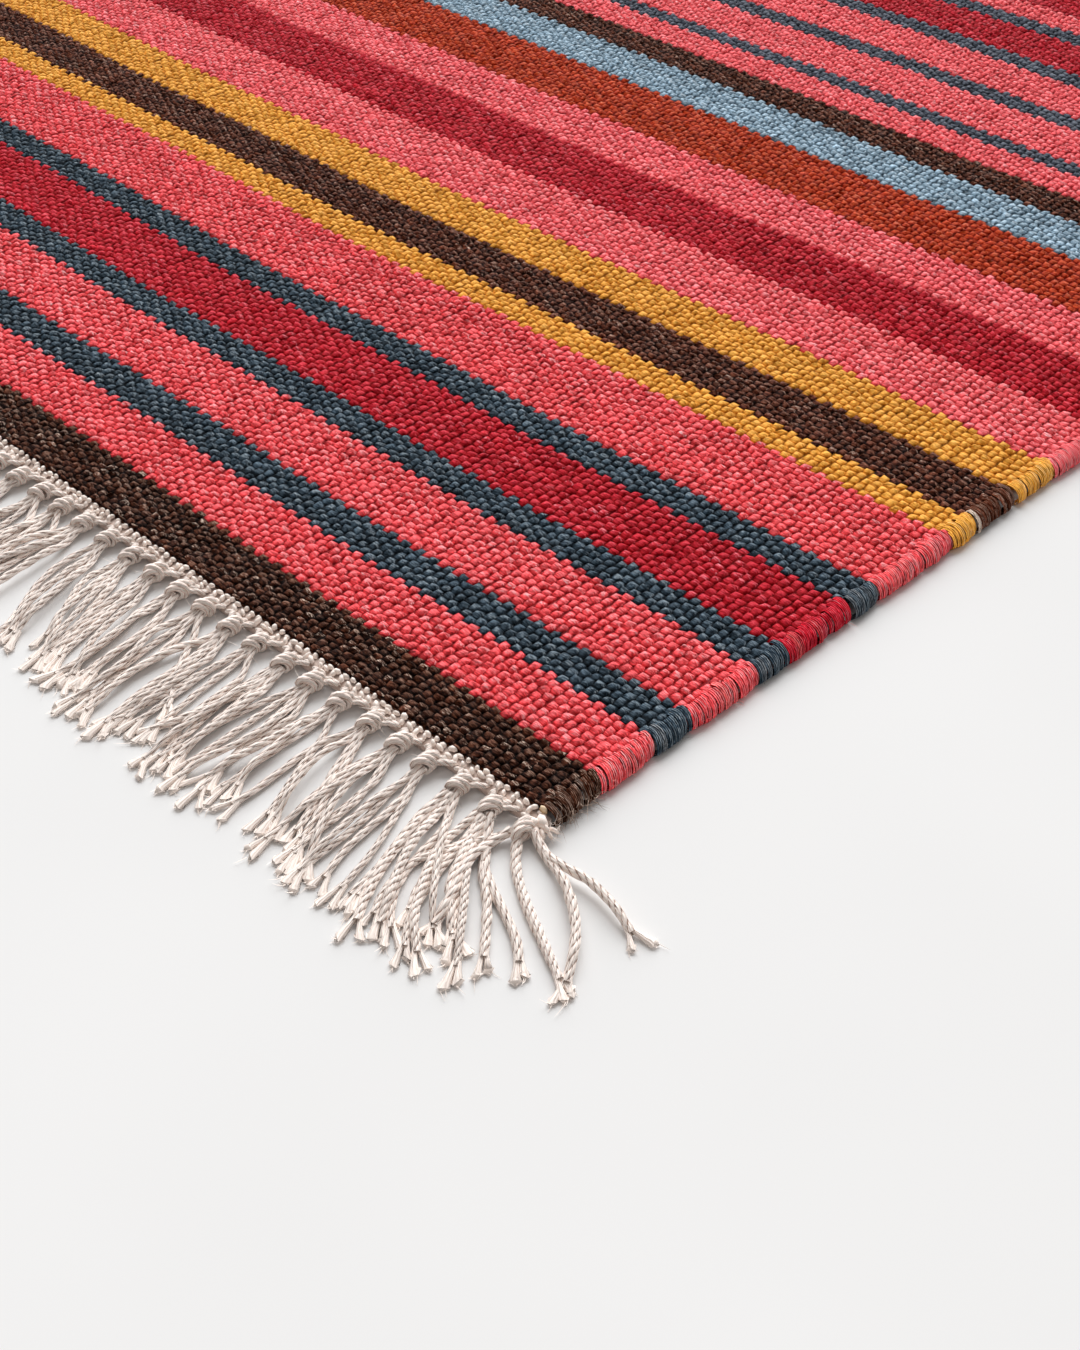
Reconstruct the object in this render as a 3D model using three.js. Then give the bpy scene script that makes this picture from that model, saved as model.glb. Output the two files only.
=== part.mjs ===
// A kilim rug: one weft-faced cloth with a thicker selvedge along each long side, and at each
// end a cotton heading whose warps are tied in overhand knots and run on as fringe.
// Millimetres. X runs along the weft, Y along the warp and Z up. The rug lies flat on z = 0.
import * as THREE from 'three';

const { degToRad, lerp } = THREE.MathUtils;

// The cloth
const WIDTH = 800;
const LENGTH = 1500;
const RIB_COUNT = 225; // one rib over each warp, between the selvedges
const CREST_HEIGHT = 4.6; // floor to the top of a rib
const VALLEY_HEIGHT = 3.8;
const END_BOW = 2.4; // how much shorter the cloth is at its sides than in its middle
const END_RIPPLE = { size: 0.5, wave: 37, beat: 101, phase: 0.8 };
const END_STEPS = 24; // points along the underside of each end

// The selvedges
const SELVEDGE_WIDTH = 8;
const SELVEDGE_HEIGHT = 5.5;
const SELVEDGE_STEPS = 30;
const SELVEDGE_WANDER = 0.9; // how far the edge wanders to each side
const SELVEDGE_WAVES = [12, 31]; // radians of each wave from the middle of the rug to an end
const SELVEDGE_SECTION = [ // outwards and up, in shares of the half width and of the height
  [-0.66, 0.88], [0, 1], [0.66, 0.88], [0.98, 0.58], [0.94, 0.26], [0.62, 0],
];

// The fringe. out is a distance from the end of the cloth, and half is half of a width.
const SEAM_GAP = 0.3;
const HEADING = { out: 5.2, innerHeight: 3.6, outerHeight: 2.8 };
const HEADING_POINT = 0.7; // how much further the heading reaches where the warps gather
const GATHER = 4.6; // half the width of heading that is drawn into one knot
const KNOT_COUNT = 60;
const KNOT_INSET = 5.4; // centre of the last knot to the side of the cloth
const KNOT_WANDER = 0.8;
const KNOT_SWELL = 0.08;
const KNOT_SECTION = [ // seen from outside the rug: shares of the half width and of the height
  [-0.72, 0], [0, 0], [0.72, 0], [1, 0.66], [0, 1], [-1, 0.66],
];
const KNOT_RINGS = [
  { out: 7.4, half: 3.5, height: 5.3 },
  { out: 10.4, half: 3.8, height: 6.0 },
  { out: 13.2, half: 2.7, height: 3.9 },
];
const STRAND_SPREAD = 6.0; // between the two strands of a knot, once they are apart
const STRAND_LENGTH = 52;
const STRAND_LENGTH_VARIES = 5;
const STRAND_SECTION = [
  [-1, 0], [1, 0], [0.55, 1], [-0.55, 1],
];
const STRAND_RINGS = [ // share is of the length, and lane is how far out to its lane it has come
  { share: 0.2, half: 1.4, height: 2.3, lane: 0.8 },
  { share: 0.58, half: 1.45, height: 2.2, lane: 1 },
  { share: 1, half: 1.8, height: 1.9, lane: 1 },
];
const LEAN = 11; // degrees that the fringe lies over, as if brushed to one side
const LEAN_WAVES = [
  { size: 5, length: 190 },
  { size: 1.8, length: 97 },
];
const LEAN_START = 0.7; // share of the lean at the knot, which grows to LEAN_END at the tip
const LEAN_END = 1.3;
const CORNER_REACH = 30; // the strands this near a corner fan out past the side
const CORNER_FAN = 66;
const CORNER_LENGTH = 0.12; // how much longer the strands lie at the very corner

const NEAR = { turn: 0, phase: 0.6, seed: 3 };
const FAR = { turn: Math.PI, phase: 2.9, seed: 41 };

const WOOL_COLOUR = '#c4404c';
const COTTON_COLOUR = '#d6cdc6';

// A repeatable number from -1 to 1 for a whole number and a seed.
function scatter(index, seed) {
  const wave = Math.sin(index * 12.9898 + seed * 78.233) * 43758.5453;
  return (wave - Math.floor(wave)) * 2 - 1;
}

// How far the end of the cloth is from the middle of the rug, at x.
function endLine(x) {
  const side = Math.abs(x) / (WIDTH / 2);
  const { size, wave, beat, phase } = END_RIPPLE;
  const ripple = size * Math.sin(x / wave) * Math.sin(x / beat + phase);
  return LENGTH / 2 - END_BOW * side ** 3 + ripple;
}

// Collects points and the triangles between them. A row or a ring is a list of point numbers.
class Shell {
  constructor() {
    this.positions = [];
    this.index = [];
  }

  point(x, y, z) {
    this.positions.push(x, y, z);
    return this.positions.length / 3 - 1;
  }

  // A face with corners that go round anticlockwise as seen from outside.
  face(corners) {
    for (let i = 2; i < corners.length; i += 1) {
      this.index.push(corners[0], corners[i - 1], corners[i]);
    }
  }

  // The side faces from one ring to the next, which has as many points.
  band(from, to) {
    from.forEach((corner, i) => {
      const next = (i + 1) % from.length;
      this.face([corner, from[next], to[next], to[i]]);
    });
  }

  // The triangles between two rows that run the same way along an axis (0 is X and 1 is Y),
  // whatever number of points each has.
  strip(low, high, axis) {
    const place = (row, i) => (i < row.length ? this.positions[3 * row[i] + axis] : Infinity);
    let i = 0;
    let j = 0;
    while (i + 1 < low.length || j + 1 < high.length) {
      if (place(high, j + 1) <= place(low, i + 1)) {
        this.face([high[j], high[j + 1], low[i]]);
        j += 1;
      } else {
        this.face([low[i + 1], low[i], high[j]]);
        i += 1;
      }
    }
  }

  geometry() {
    const geometry = new THREE.BufferGeometry();
    geometry.setAttribute('position', new THREE.Float32BufferAttribute(this.positions, 3));
    geometry.setIndex(this.index);
    return geometry;
  }
}

// The cloth: a flat underside, a rib along Y over each warp, and a rounded edge on each side
// that the weft turns round on its way back. It is made of rows of points that run along Y.
function cloth() {
  const shell = new Shell();
  const half = SELVEDGE_WIDTH / 2;
  const first = WIDTH / 2 - SELVEDGE_WIDTH;
  const pitch = (2 * first) / RIB_COUNT;
  const atEnds = (x, z) => [-1, 1].map((end) => shell.point(x, end * endLine(-end * x), z));

  const edgeRow = (side, across, up) => {
    const row = [];
    for (let step = 0; step <= SELVEDGE_STEPS; step += 1) {
      const along = (2 * step) / SELVEDGE_STEPS - 1;
      const [slow, quick] = SELVEDGE_WAVES.map((wave) => wave * along);
      const wave = Math.sin(slow + side) * Math.cos(quick);
      const x = side * (WIDTH / 2 - half + across * half + SELVEDGE_WANDER * wave);
      row.push(shell.point(x, along * endLine(-along * x), up * SELVEDGE_HEIGHT));
    }
    return row;
  };
  const rightEdge = SELVEDGE_SECTION.map(([across, up]) => edgeRow(1, across, up));
  const leftEdge = SELVEDGE_SECTION.map(([across, up]) => edgeRow(-1, across, up));
  const under = [];
  for (let i = 1; i < END_STEPS; i += 1) {
    under.push(atEnds(first * ((2 * i) / END_STEPS - 1), 0));
  }
  const valleys = [atEnds(-first, VALLEY_HEIGHT)];
  const ribs = [];
  for (let rib = 0; rib < RIB_COUNT; rib += 1) {
    ribs.push(atEnds((rib + 0.5) * pitch - first, CREST_HEIGHT));
    valleys.push(atEnds((rib + 1) * pitch - first, VALLEY_HEIGHT));
  }

  const top = [valleys[0], ...ribs.flatMap((crest, rib) => [crest, valleys[rib + 1]])];
  const round = [...under.toReversed(), ...leftEdge.toReversed(), ...top, ...rightEdge];
  round.forEach((row, i) => shell.strip(row, round[(i + 1) % round.length], 1));

  for (const [end, outward] of [[0, false], [-1, true]]) {
    const cap = (corners) => shell.face(outward ? corners : corners.toReversed());
    const at = (rows) => rows.map((row) => row.at(end));
    const crests = at(ribs);
    const line = at(valleys);
    crests.forEach((crest, rib) => cap([line[rib], crest, line[rib + 1]]));
    cap([line[0], ...at(leftEdge)].toReversed());
    cap([line.at(-1), ...at(rightEdge)]);
    const low = at([leftEdge.at(-1), ...under, rightEdge.at(-1)]);
    shell.strip(outward ? low : line, outward ? line : low, 0);
  }
  return shell.geometry();
}

// Knots are spaced evenly along the heading, give or take a little.
function knotPlace(knot, end) {
  const reach = WIDTH / 2 - KNOT_INSET;
  const edge = Math.min(knot, KNOT_COUNT - 1 - knot);
  const wander = edge === 0 ? 0 : KNOT_WANDER * scatter(knot, end.seed);
  return -reach + (2 * reach * knot) / (KNOT_COUNT - 1) + wander;
}

// How near x is to a corner: 0 over most of the width, rising to 1 at the side of the cloth.
function cornerShare(x) {
  return Math.max(0, Math.abs(x) - WIDTH / 2 + CORNER_REACH) / CORNER_REACH;
}

// The lie of the fringe at x, in degrees from straight out, positive towards +X.
function leanAt(x, end) {
  let lean = LEAN;
  for (const wave of LEAN_WAVES) {
    lean += wave.size * Math.sin((2 * Math.PI * x) / wave.length + end.phase);
  }
  const corner = cornerShare(x);
  return lean * (1 - corner / 2) + Math.sign(x) * CORNER_FAN * corner ** 1.5;
}

// One end's fringe: a narrow heading along the cloth, which runs out into knots, and two
// strands out of each knot that drop to the floor and lie over to one side.
function fringe(end) {
  const shell = new Shell();

  function column(x, further) {
    const y = -endLine(x);
    return {
      innerLow: shell.point(x, y - SEAM_GAP, 0),
      innerHigh: shell.point(x, y - SEAM_GAP, HEADING.innerHeight),
      outerLow: shell.point(x, y - HEADING.out - further, 0),
      outerHigh: shell.point(x, y - HEADING.out - further, HEADING.outerHeight),
    };
  }

  function span(left, right) {
    shell.face([left.innerHigh, left.outerHigh, right.outerHigh, right.innerHigh]);
    shell.face([left.outerLow, left.innerLow, right.innerLow, right.outerLow]);
    shell.face([left.innerLow, left.innerHigh, right.innerHigh, right.innerLow]);
  }

  function closedSpan(left, right) {
    span(left, right);
    shell.face([left.outerLow, right.outerLow, right.outerHigh, left.outerHigh]);
  }

  function strand(root, number, place, knotX, knotTip) {
    const offset = (place - 0.5) * STRAND_SPREAD;
    const lean = leanAt(knotX + offset, end);
    const varied = STRAND_LENGTH_VARIES * scatter(2 * number + place, end.seed + 1);
    const length = (STRAND_LENGTH + varied) * (1 + CORNER_LENGTH * cornerShare(knotX + offset));
    let x = knotX;
    let y = knotTip;
    let share = 0;
    let last = root;
    for (const ring of STRAND_RINGS) {
      const angle = degToRad(lean * lerp(LEAN_START, LEAN_END, ring.share));
      const run = (ring.share - share) * length;
      x += run * Math.sin(angle);
      y -= run * Math.cos(angle);
      share = ring.share;
      const next = STRAND_SECTION.map(([across, up]) => {
        const side = offset * ring.lane + across * ring.half;
        return shell.point(x + side * Math.cos(angle), y + side * Math.sin(angle), up * ring.height);
      });
      shell.band(last, next);
      last = next;
    }
    shell.face(last);
  }

  function knot(left, middle, right, number, x) {
    const y = -endLine(x);
    const swell = 1 + KNOT_SWELL * scatter(number, end.seed + 2);
    let last = [
      left.outerLow, middle.outerLow, right.outerLow,
      right.outerHigh, middle.outerHigh, left.outerHigh,
    ];
    for (const { out, half, height } of KNOT_RINGS) {
      const next = KNOT_SECTION.map(
        ([across, up]) => shell.point(x + across * half * swell, y - out, up * height * swell),
      );
      shell.band(last, next);
      last = next;
    }
    const tip = y - KNOT_RINGS.at(-1).out;
    const [lowLeft, lowMiddle, lowRight, highRight, highMiddle, highLeft] = last;
    strand([lowLeft, lowMiddle, highMiddle, highLeft], number, 0, x, tip);
    strand([lowMiddle, lowRight, highRight, highMiddle], number, 1, x, tip);
  }

  const first = column(-WIDTH / 2, 0);
  shell.face([first.outerLow, first.outerHigh, first.innerHigh, first.innerLow]);
  let before = first;
  for (let number = 0; number < KNOT_COUNT; number += 1) {
    const x = knotPlace(number, end);
    const left = column(x - GATHER, 0);
    const middle = column(x, HEADING_POINT);
    const right = column(x + GATHER, 0);
    closedSpan(before, left);
    span(left, middle);
    span(middle, right);
    knot(left, middle, right, number, x);
    before = right;
  }
  const last = column(WIDTH / 2, 0);
  closedSpan(before, last);
  shell.face([last.outerLow, last.innerLow, last.innerHigh, last.outerHigh]);
  return shell.geometry();
}

function mesh(name, geometry, material) {
  const made = new THREE.Mesh(geometry, material);
  made.name = name;
  return made;
}

const wool = new THREE.MeshStandardMaterial({ color: WOOL_COLOUR, roughness: 0.95, metalness: 0 });
const cotton = new THREE.MeshStandardMaterial({ color: COTTON_COLOUR, roughness: 0.95, metalness: 0 });

const rug = new THREE.Group();
rug.add(mesh('woven_field', cloth(), wool));
for (const [name, end] of [['fringe_near', NEAR], ['fringe_far', FAR]]) {
  const made = mesh(name, fringe(end), cotton.clone());
  made.rotation.z = end.turn;
  rug.add(made);
}

export default rug;
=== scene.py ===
import math
from functools import partial, reduce

import bpy
import numpy as np
from mathutils import Euler, Matrix, Vector


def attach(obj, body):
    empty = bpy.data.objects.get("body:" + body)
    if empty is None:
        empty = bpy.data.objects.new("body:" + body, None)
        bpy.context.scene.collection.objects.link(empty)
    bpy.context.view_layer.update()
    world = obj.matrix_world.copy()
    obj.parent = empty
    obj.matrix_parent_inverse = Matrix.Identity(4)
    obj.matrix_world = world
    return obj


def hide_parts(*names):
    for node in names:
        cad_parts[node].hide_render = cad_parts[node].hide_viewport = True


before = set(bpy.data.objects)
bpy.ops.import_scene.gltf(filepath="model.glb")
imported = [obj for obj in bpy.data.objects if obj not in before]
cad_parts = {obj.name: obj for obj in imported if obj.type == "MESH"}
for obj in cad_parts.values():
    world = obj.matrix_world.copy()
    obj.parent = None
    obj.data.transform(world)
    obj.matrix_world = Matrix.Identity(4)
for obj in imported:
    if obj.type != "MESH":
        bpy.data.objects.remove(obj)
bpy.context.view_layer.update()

MM = 0.001

# The cloth, with the same sizes as its solid
WIDTH = 800.0
LENGTH = 1500.0
HALF = WIDTH / 2
SELVEDGE_WIDTH = 8.0
FIELD_HALF = HALF - SELVEDGE_WIDTH
RIBS = 225
END_BOW = 2.4
RIPPLE_SIZE, RIPPLE_WAVE, RIPPLE_BEAT, RIPPLE_PHASE = 0.5, 37.0, 101.0, 0.8
CREST = 4.65
VALLEY = 3.6
CORE_TOP = 3.1
CORNER = np.array([HALF, -LENGTH / 2, 0])  # the near one on the right

# How the picks stray between the straight ends of the rug
BOWS = [(3.0, -480.0, 160.0), (-2.0, 380.0, 210.0)]  # size, middle along Y and spread
WAVERS = [(0.7, 88.0, 61.0, 0.0), (0.4, 37.0, -83.0, 1.7)]  # size, waves along X and Y, and phase
BOW_EDGE_POWER, BOW_LEVEL = 2.2, 0.4
STRAIGHT_END_POWER = 12

# The stripes from the near end to the middle: a dye and its number of picks
STRIPES = [
    ("brown", 14), ("pink", 12), ("teal", 8), ("pink", 15), ("teal", 7), ("crimson", 16),
    ("teal", 7), ("pink", 20), ("mustard", 7), ("umber", 15), ("mustard", 12), ("rose", 17),
    ("crimson", 18), ("rose", 15), ("rust", 19), ("sky", 14), ("umber", 12), ("rose", 10),
    ("slate", 5), ("rose", 15), ("slate", 6), ("rose", 15), ("slate", 6), ("crimson", 15),
    ("slate", 6), ("rose", 9), ("crimson", 16), ("rose", 9), ("mustard", 7), ("umber", 15),
    ("mustard", 7), ("rose", 9), ("crimson", 8),
]
FINE_DYES, FINE_PICK = ("brown", "umber"), 0.8  # dyes on thinner yarn, and its share of a pick
# The painted highlight is a pale stroke on each bump's lit crown; coarseness also sets how far the
# painted shade on a bump falls.
DYES = {  # colour as seen, how much it varies, pale fibres, painted highlight and coarseness
    "brown": ((83, 47, 32), 0.3, 1.0, 0.35, 1.0),
    "umber": ((101, 55, 38), 0.2, 0.6, 0.35, 0.9),
    "pink": ((248, 94, 100), 0.09, 0.6, 0.45, 0.5),
    "rose": ((255, 113, 119), 0.07, 0.5, 0.4, 0.38),
    "teal": ((67, 82, 94), 0.16, 0.35, 0.45, 0.75),
    "crimson": ((195, 38, 54), 0.06, 0.6, 0.15, 0.3),
    "mustard": ((237, 171, 76), 0.05, 0.1, 0.08, 0.25),
    "rust": ((191, 69, 33), 0.07, 0.3, 0.15, 0.35),
    "sky": ((160, 184, 201), 0.12, 0.3, 0.35, 0.55),
    "slate": ((92, 98, 110), 0.1, 0.2, 0.15, 0.3),
}
PALE = (238, 216, 198)
TAN = (220, 196, 164)
CREAM = (255, 242, 233)
# The painted groove shade: the cotton's colour in the grooves between plies and strands
PAINTED_GROOVE_SHADE = (170, 130, 110)


def linear(colour):
    """A colour as seen, from 0 to 255, as the light that makes it."""
    share = np.asarray(colour, dtype=float) / 255
    return np.where(share <= 0.04045, share / 12.92, ((share + 0.055) / 1.055) ** 2.4)


def columns(*parts):
    """Arrays and single values side by side, along a new last axis."""
    return np.stack(np.broadcast_arrays(*parts), axis=-1)


def sums(values):
    """The sum of the values before each one, and of all."""
    return np.concatenate([[0], np.cumsum(values)])


def strewn(rng, ranges, count):
    """Random values in so many rows, with a column for each range."""
    return columns(*(rng.uniform(low, high, count) for low, high in ranges))


def eased(share):
    """A share from 0 to 1 that starts and ends gently."""
    share = np.clip(share, 0, 1)
    return share * share * (3 - 2 * share)


def smooth_noise(rng, shape, steps):
    """Values from -1 to 1 on a grid, which change smoothly over so many rows and columns."""
    lattice = rng.uniform(-1, 1, [int(n / s) + 3 for n, s in zip(shape, steps)])
    places = [np.arange(n) / s for n, s in zip(shape, steps)]
    top, left = (place.astype(int) for place in places)
    down, across = (eased(place % 1) for place in places)
    down = down[:, None]
    rows = lattice[top] * (1 - down) + lattice[top + 1] * down
    return rows[:, left] * (1 - across) + rows[:, left + 1] * across


def smooth_row(rng, count, step):
    """Values from -1 to 1 in a row, which change smoothly over so many."""
    return smooth_noise(rng, (count, 1), (step, 1))[:, 0]


def end_line(x):
    """How far the end of the cloth is from the middle of the rug, at x."""
    ripple = RIPPLE_SIZE * np.sin(x / RIPPLE_WAVE) * np.sin(x / RIPPLE_BEAT + RIPPLE_PHASE)
    return LENGTH / 2 - END_BOW * (np.abs(x) / HALF) ** 3 + ripple


MIDDLE_DYE, HALF_SIZE = STRIPES[-1]
MIRRORED = STRIPES[:-1] + [(MIDDLE_DYE, 2 * HALF_SIZE)] + STRIPES[-2::-1]
RUN_SIZES = [count for _, count in MIRRORED]
RUN_ENDS = sums(RUN_SIZES)
PICKS = RUN_ENDS[-1]
RUNS = [(dye, end - count, end) for (dye, count), end in zip(MIRRORED, RUN_ENDS[1:])]
PICK_SIZES = np.repeat([FINE_PICK if dye in FINE_DYES else 1.0 for dye, _, _ in RUNS], RUN_SIZES)
PICK_SHARES = sums(PICK_SIZES) / PICK_SIZES.sum()


def pick_line(x, pick):
    """Where a pick lies at x. The picks bow and waver between the straight ends."""
    share = np.interp(pick, np.arange(PICKS + 1), PICK_SHARES)
    near = -end_line(x)
    y = near + (end_line(-x) - near) * share
    inside = 1 - np.abs(2 * share - 1) ** STRAIGHT_END_POWER
    side = (np.abs(x) / HALF) ** BOW_EDGE_POWER - BOW_LEVEL
    bow = sum(size * np.exp(-((y - middle) / spread) ** 2) for size, middle, spread in BOWS)
    waver = sum(size * np.sin(x / across + y / along + phase)
                for size, across, along, phase in WAVERS)
    return y + inside * (bow * side + waver)


DYE_NAMES = list(DYES)
RUN_DYES = [DYE_NAMES.index(dye) for dye, _, _ in RUNS]
PICK_DYES = np.repeat(RUN_DYES, RUN_SIZES)
DYE_COLOURS = np.array([linear(row[0]) for row in DYES.values()])
DYE_VARIES, DYE_PALES, DYE_PAINTED_HIGHLIGHTS, DYE_COARSE = np.array([row[1:] for row in DYES.values()]).T


def add_object(name, data):
    made = bpy.data.objects.new(name, data)
    bpy.context.scene.collection.objects.link(made)
    return made


def add_mesh(name, points, faces, material, traits, face_traits=None, plan=None):
    """A piece from points, a list of arrays of faces, and its values for each point or face."""
    mesh = bpy.data.meshes.new(name)
    sizes = np.concatenate([np.full(len(rows), rows.shape[1]) for rows in faces])
    corners = np.concatenate([rows.ravel() for rows in faces]).astype(np.int32)
    mesh.vertices.add(len(points))
    mesh.vertices.foreach_set("co", (points * MM).astype(np.float32).ravel())
    mesh.loops.add(len(corners))
    mesh.loops.foreach_set("vertex_index", corners)
    mesh.polygons.add(len(sizes))
    mesh.polygons.foreach_set("loop_start", sums(sizes)[:-1].astype(np.int32))
    mesh.update(calc_edges=True)
    mesh.polygons.foreach_set("use_smooth", np.ones(len(sizes), dtype=bool))
    for domain, values in (("POINT", traits), ("FACE", face_traits or {})):
        for label, value in values.items():
            wide = value.shape[1] == 4
            kind, field = ("FLOAT_COLOR", "color") if wide else ("FLOAT_VECTOR", "vector")
            layer = mesh.attributes.new(label, kind, domain)
            layer.data.foreach_set(field, value.astype(np.float32).ravel())
    if plan is not None:
        layer = mesh.uv_layers.new(name="OFBake")
        layer.data.foreach_set("uv", plan[corners].astype(np.float32).ravel())
    mesh.materials.append(material)
    piece = add_object(name, mesh)
    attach(piece, "root")
    return piece


def inset(shares):
    """Places from 0 to 1 in a map, kept off its edges."""
    return 0.01 + 0.98 * shares


def flat_plan(points):
    """A map of a piece as seen from above, which fills the picture."""
    low, high = points[:, :2].min(0), points[:, :2].max(0)
    return inset((points[:, :2] - low) / (high - low))


def rgba(colours, fourth):
    """Colours with a fourth value for each, or the same for all."""
    return columns(*np.clip(colours, 0, 1).T, fourth)


def grid_faces(index):
    """Faces between the neighbours in grids of points."""
    near, far = index[..., :-1, :], index[..., 1:, :]
    return columns(near[..., :-1], near[..., 1:], far[..., 1:], far[..., :-1]).reshape(-1, 4)


def add_cotton(name, end, points, faces, ply):
    points = turned(points, end).reshape(-1, 3)
    add_mesh(name, points, faces, COTTON, {"ply": ply.reshape(-1, 4)})


class Net:
    """A material's nodes, added one at a time."""

    def __init__(self, name):
        self.material = bpy.data.materials.new(name)
        self.material.use_nodes = True
        self.tree = self.material.node_tree
        self.shader = self.tree.nodes["Principled BSDF"]

    def add(self, kind, inputs=(), output=0, **settings):
        """The output of a new node, with its inputs in order, or by name or number."""
        node = self.tree.nodes.new(kind)
        for label, value in settings.items():
            setattr(node, label, value)
        for label, value in inputs.items() if isinstance(inputs, dict) else enumerate(inputs):
            self.put(node.inputs[label], value)
        return node.outputs[output]

    def put(self, socket, value):
        if isinstance(value, bpy.types.NodeSocket):
            self.tree.links.new(value, socket)
        else:
            socket.default_value = value

    def math(self, operation, *values):
        return self.add("ShaderNodeMath", values, operation=operation)

    def times(self, *values):
        return reduce(partial(self.math, "MULTIPLY"), values)

    def plus(self, *values):
        return reduce(partial(self.math, "ADD"), values)

    def ridges(self, value, turns):
        """Rounded ridges, 1 on top and 0 in the grooves."""
        return self.math("ABSOLUTE", self.math("COSINE", self.times(value, turns * math.pi)))

    def steps(self, value, low, high, to_low=0.0, to_high=1.0):
        inputs = value, low, high, to_low, to_high
        return self.add("ShaderNodeMapRange", inputs, interpolation_type="SMOOTHSTEP")

    def blend(self, share, first, second, mode="MIX"):
        inputs = {0: share, 6: first, 7: second}
        return self.add("ShaderNodeMix", inputs, 2, data_type="RGBA", blend_type=mode)

    def gamma(self, colour, power):
        return self.add("ShaderNodeGamma", (colour, power))

    def attribute(self, label, output):
        return self.add("ShaderNodeAttribute", output=output, attribute_name=label)

    def split(self, vector):
        return self.add("ShaderNodeSeparateXYZ", [vector]).node.outputs

    def join(self, *values):
        return self.add("ShaderNodeCombineXYZ", values)

    def noise(self, place, detail, size=None, scale=1.0):
        """Noise with patches of a size. A larger scale makes them smaller."""
        if size is not None:
            inputs = {"Vector": place, "Scale": size}
            place = self.add("ShaderNodeMapping", inputs, vector_type="TEXTURE")
        inputs = {"Vector": place, "Scale": scale, "Detail": detail}
        return self.add("ShaderNodeTexNoise", inputs)

    def lump(self, u, v, middle, weights, power):
        """How far a point of a bump is from a middle, with a weight each way."""
        parts = []
        for value, centre, weight in zip((u, v), middle, weights):
            offset = self.math("ABSOLUTE", self.math("SUBTRACT", value, centre))
            parts.append(self.times(self.math("POWER", offset, power), weight))
        return self.plus(*parts)

    def shaded(self, colour, shade):
        return self.blend(1.0, colour, self.join(shade, shade, shade), "MULTIPLY")

    def finish(self, colour, roughness, bumps, **uniform):
        self.put(self.shader.inputs["Base Color"], colour)
        self.put(self.shader.inputs["Roughness"], roughness)
        inputs = {"Strength": 1.0}
        for height, distance in bumps:
            inputs.update(Height=height, Distance=distance)
            inputs["Normal"] = self.add("ShaderNodeBump", inputs)
        self.put(self.shader.inputs["Normal"], inputs["Normal"])
        for label, value in uniform.items():
            self.shader.inputs[label.replace("_", " ")].default_value = value
        return self.material


FIBRE_SIZE = (0.0026, 0.0005, 0.0009)
WRAP_FIBRE_SIZE = (0.0042, 0.0004, 1.0)
CLUMP_SIZE = (0.0026, 0.0011, 0.0014)
FIBRE_RANGE = (0.36, 0.64)  # of the noise that draws the fibres
RIM = ((0, 0), (0.8, 0.7), 2.6)  # on a bump: a middle, a weight each way and a power
# Painted shade on a bump grows away from this middle, which lies off centre towards +Y, the lit
# side
PAINTED_SHADE_MIDDLE = ((-0.06, 0.25), (1.05, 0.75), 2.2)
# Where the painted highlight sits on a bump: off its middle towards +Y, the side the light comes
# from
PAINTED_HIGHLIGHT_SPOT = ((-0.08, 0.35), (0.4, 1.4), 2.0)
# Painted light on the crown, before the painted shade falls away from it
PAINTED_CROWN_LIGHT = 1.22
PAINTED_SHADE_POWER = 0.42  # painted shade: how much deeper the dye turns in the grooves, as a power
PAINTED_HIGHLIGHT_POWER = 0.5  # the painted highlight on the lit crowns is the dye to this power
WASHED = 0.25  # the power of the dye in its palest fibres
STRANDS = 3  # strands of yarn in a wrap of the selvedge


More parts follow.
